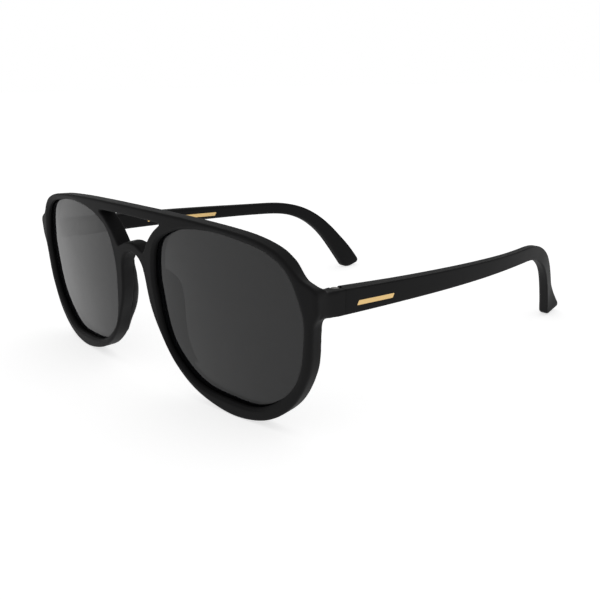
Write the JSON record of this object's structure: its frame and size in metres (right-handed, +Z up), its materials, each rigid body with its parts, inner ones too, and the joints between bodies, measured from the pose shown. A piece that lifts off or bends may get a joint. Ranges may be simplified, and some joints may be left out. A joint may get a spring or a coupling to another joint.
{
  "type": "aviator sunglasses",
  "caption": "Double-bridge aviator sunglasses in matt black plastic with grey graduated lenses and folding temples on metal hinges.",
  "frame": {"origin": "centre of the bounding box at the table, with the rims and the two temple tips standing on it", "axes": "+X towards the wearer's left, +Y from the front towards the temple tips, +Z up"},
  "size_m": [0.1438, 0.1508, 0.054],
  "materials": {
    "frame_plastic": "matt black moulded plastic with a faint grain",
    "lens": "smooth grey plastic lens, darker at the top and lighter at the bottom",
    "hinge_metal": "bright nickel silver",
    "core_wire": "drawn wire, hidden in the temple",
    "gold_foil": "thin gold foil, satin"
  },
  "bodies": {
    "front": {"front_frame": "frame_plastic", "left_lens": "lens", "right_lens": "lens", "left_nose_pad": "frame_plastic", "right_nose_pad": "frame_plastic", "left_front_hinge_leaf": "hinge_metal", "right_front_hinge_leaf": "hinge_metal", "left_hinge_screw": "hinge_metal", "right_hinge_screw": "hinge_metal"},
    "left_side": {"left_temple": "frame_plastic", "left_temple_hinge_leaf": "hinge_metal", "left_temple_core_wire": "core_wire", "left_temple_outer_mark": "gold_foil"},
    "right_side": {"right_temple": "frame_plastic", "right_temple_hinge_leaf": "hinge_metal", "right_temple_core_wire": "core_wire", "right_temple_outer_mark": "gold_foil", "right_temple_inner_mark": "gold_foil", "right_temple_inner_dot": "gold_foil"}
  },
  "joints": [
    {"name": "left_hinge", "type": "hinge", "parent": "front", "child": "left_side", "pos_m": [0.0673, -0.05761, 0.03597], "axis": [0, 0.0527, 0.9986], "range_deg": [0, 84]},
    {"name": "right_hinge", "type": "hinge", "parent": "front", "child": "right_side", "pos_m": [-0.0673, -0.05761, 0.03597], "axis": [0, -0.0527, -0.9986], "range_deg": [0, 76]}
  ]
}
